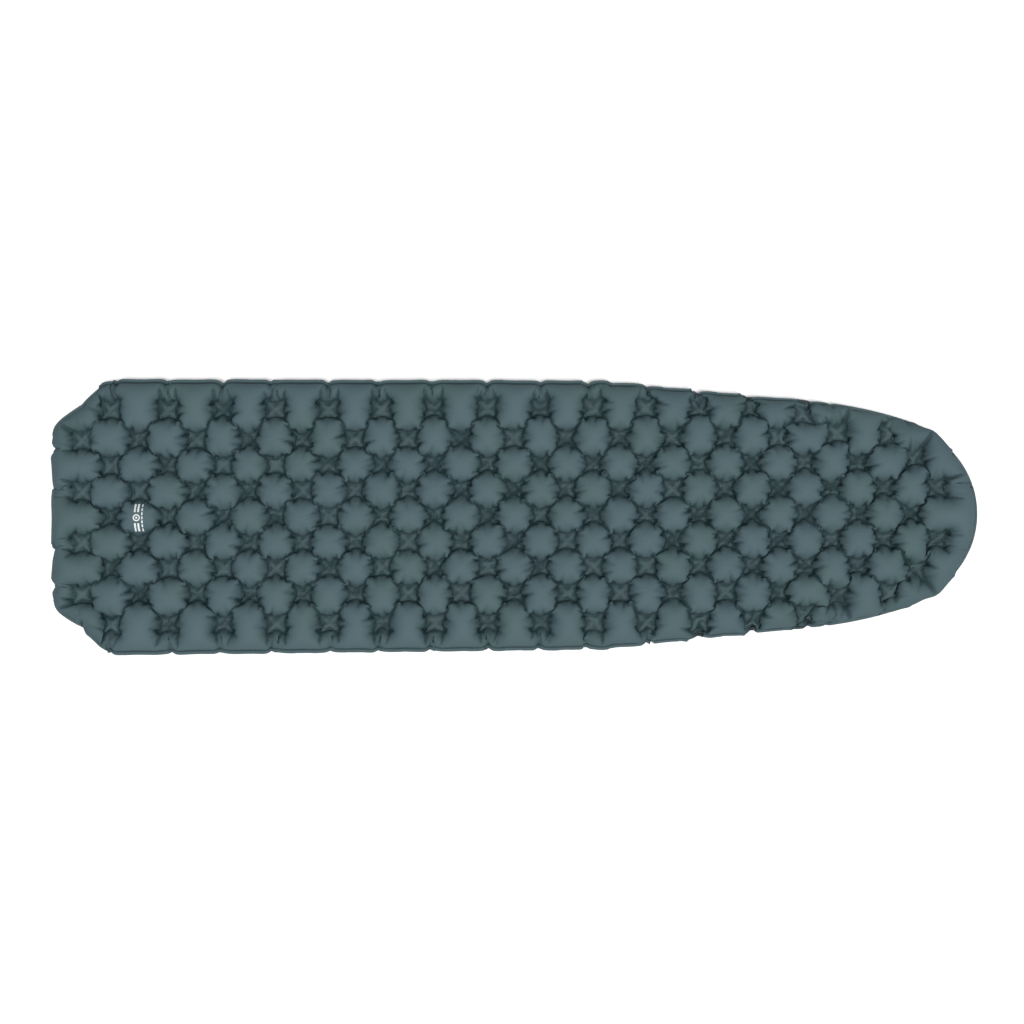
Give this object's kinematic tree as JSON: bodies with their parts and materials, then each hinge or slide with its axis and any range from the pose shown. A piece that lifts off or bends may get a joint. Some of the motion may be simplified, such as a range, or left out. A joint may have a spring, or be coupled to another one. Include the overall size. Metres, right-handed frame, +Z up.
{
  "type": "inflatable sleeping pad",
  "caption": "Mummy-shaped air sleeping pad of two laminated sheets, dot-welded into quilted cells, with a capped two-stage corner valve.",
  "frame": {"origin": "centre of the pad's bounding box, on the surface that it lies on", "axes": "+X from the square head end to the round foot end, +Y across the pad, +Z up through the top sheet"},
  "size_m": [1.8498, 0.5498, 0.05],
  "materials": {
    "top_fabric": "matte woven nylon with a faint sheen",
    "bottom_fabric": "matte woven nylon",
    "valve_tpu": "moulded TPU, satin",
    "valve_insert_tpu": "moulded TPU, satin",
    "cap_tpu": "soft moulded elastomer, matte",
    "seal_silicone": "matte",
    "flap_silicone": "translucent matte"
  },
  "bodies": {
    "pad": {"top_sheet": "top_fabric", "bottom_sheet": "bottom_fabric", "valve_base": "valve_tpu", "tether_ring": "valve_tpu"},
    "insert": {"valve_insert": "valve_insert_tpu", "face_seal": "seal_silicone", "cap_ring": "valve_insert_tpu"},
    "cap": {"inflation_cap": "cap_tpu"},
    "flap": {"check_flap": "flap_silicone"}
  },
  "joints": [
    {"name": "insert_hinge", "type": "hinge", "parent": "pad", "child": "insert", "pos_m": [-0.86234, -0.21657, 0.01901], "axis": [-0.7399, 0.6727, 0], "range_deg": [0, 140]},
    {"name": "cap_hinge", "type": "hinge", "parent": "insert", "child": "cap", "pos_m": [-0.83689, -0.18858, 0.0042], "axis": [0.7399, -0.6727, 0], "range_deg": [0, 150]},
    {"name": "flap_lift", "type": "slide", "parent": "insert", "child": "flap", "axis": [0.1967, 0.2163, 0.9563], "range_m": [0, 0.0015], "stiffness_N_per_m": 10}
  ]
}
